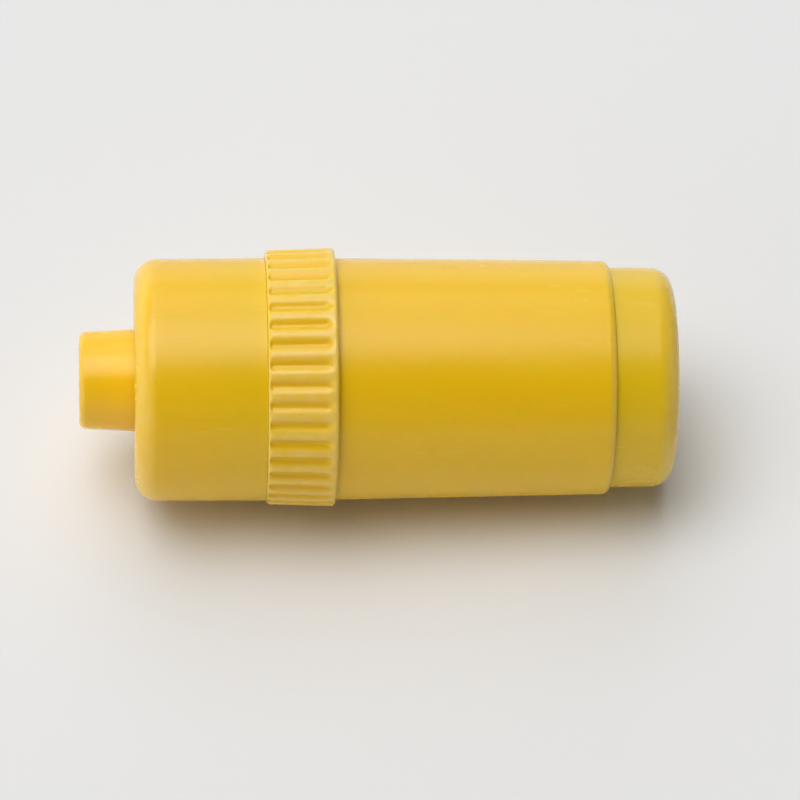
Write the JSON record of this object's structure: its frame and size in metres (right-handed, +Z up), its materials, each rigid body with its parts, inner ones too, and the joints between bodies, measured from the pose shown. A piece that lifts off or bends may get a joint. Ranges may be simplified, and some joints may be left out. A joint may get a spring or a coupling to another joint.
{
  "type": "training clicker",
  "caption": "Barrel-shaped pet training clicker with a thumb button at one end, a ribbed volume ring round the middle and a rounded end plug.",
  "frame": {"origin": "bottom centre of the whole object, as it lies on its side on its ribbed ring", "axes": "+X along the grip's axis from the button towards the end plug, +Z up, +Y across the grip"},
  "size_m": [0.059, 0.0258, 0.0258],
  "materials": {
    "casing_yellow": "satin moulded plastic, warm yellow",
    "plug_yellow": "satin moulded plastic, slightly duller yellow",
    "ivory_acetal": "natural acetal, matt",
    "grey_acetal": "dark acetal, matt",
    "spring_steel": "rolled spring steel",
    "spring_wire": "drawn spring wire",
    "bright_steel": "ground steel pin",
    "black_rubber": "soft black rubber"
  },
  "bodies": {
    "housing": {"front_shell": "casing_yellow", "barrel": "casing_yellow", "end_plug": "plug_yellow", "plug_o_ring": "black_rubber", "guide_bridge": "ivory_acetal", "disc_seat": "ivory_acetal", "click_disc": "spring_steel", "return_spring": "spring_wire", "button_bumper": "black_rubber", "detent_spring": "spring_wire"},
    "button": {"push_button": "casing_yellow", "plunger_pin": "bright_steel"},
    "ring": {"volume_ring": "casing_yellow"},
    "shutter": {"shutter_disc": "grey_acetal", "drive_pin_1": "bright_steel", "drive_pin_2": "bright_steel", "drive_pin_3": "bright_steel"}
  },
  "joints": [
    {"name": "button_press", "type": "slide", "parent": "housing", "child": "button", "axis": [1, 0, 0], "range_m": [0, 0.003], "stiffness_N_per_m": 800, "springref_m": -0.003, "deforming": ["return_spring", "click_disc"]},
    {"name": "ring_turn", "type": "hinge", "parent": "housing", "child": "ring", "pos_m": [-0.0075, 0, 0.01288], "axis": [1, 0, 0], "range_deg": [-30, 30], "deforming": ["detent_spring"]},
    {"name": "shutter_turn", "type": "hinge", "parent": "housing", "child": "shutter", "pos_m": [-0.00605, 0, 0.01258], "axis": [1, 0, 0], "range_deg": [-30, 30]}
  ],
  "couplings": [
    {"joint": "shutter_turn", "follows": "ring_turn", "ratio": 1}
  ]
}
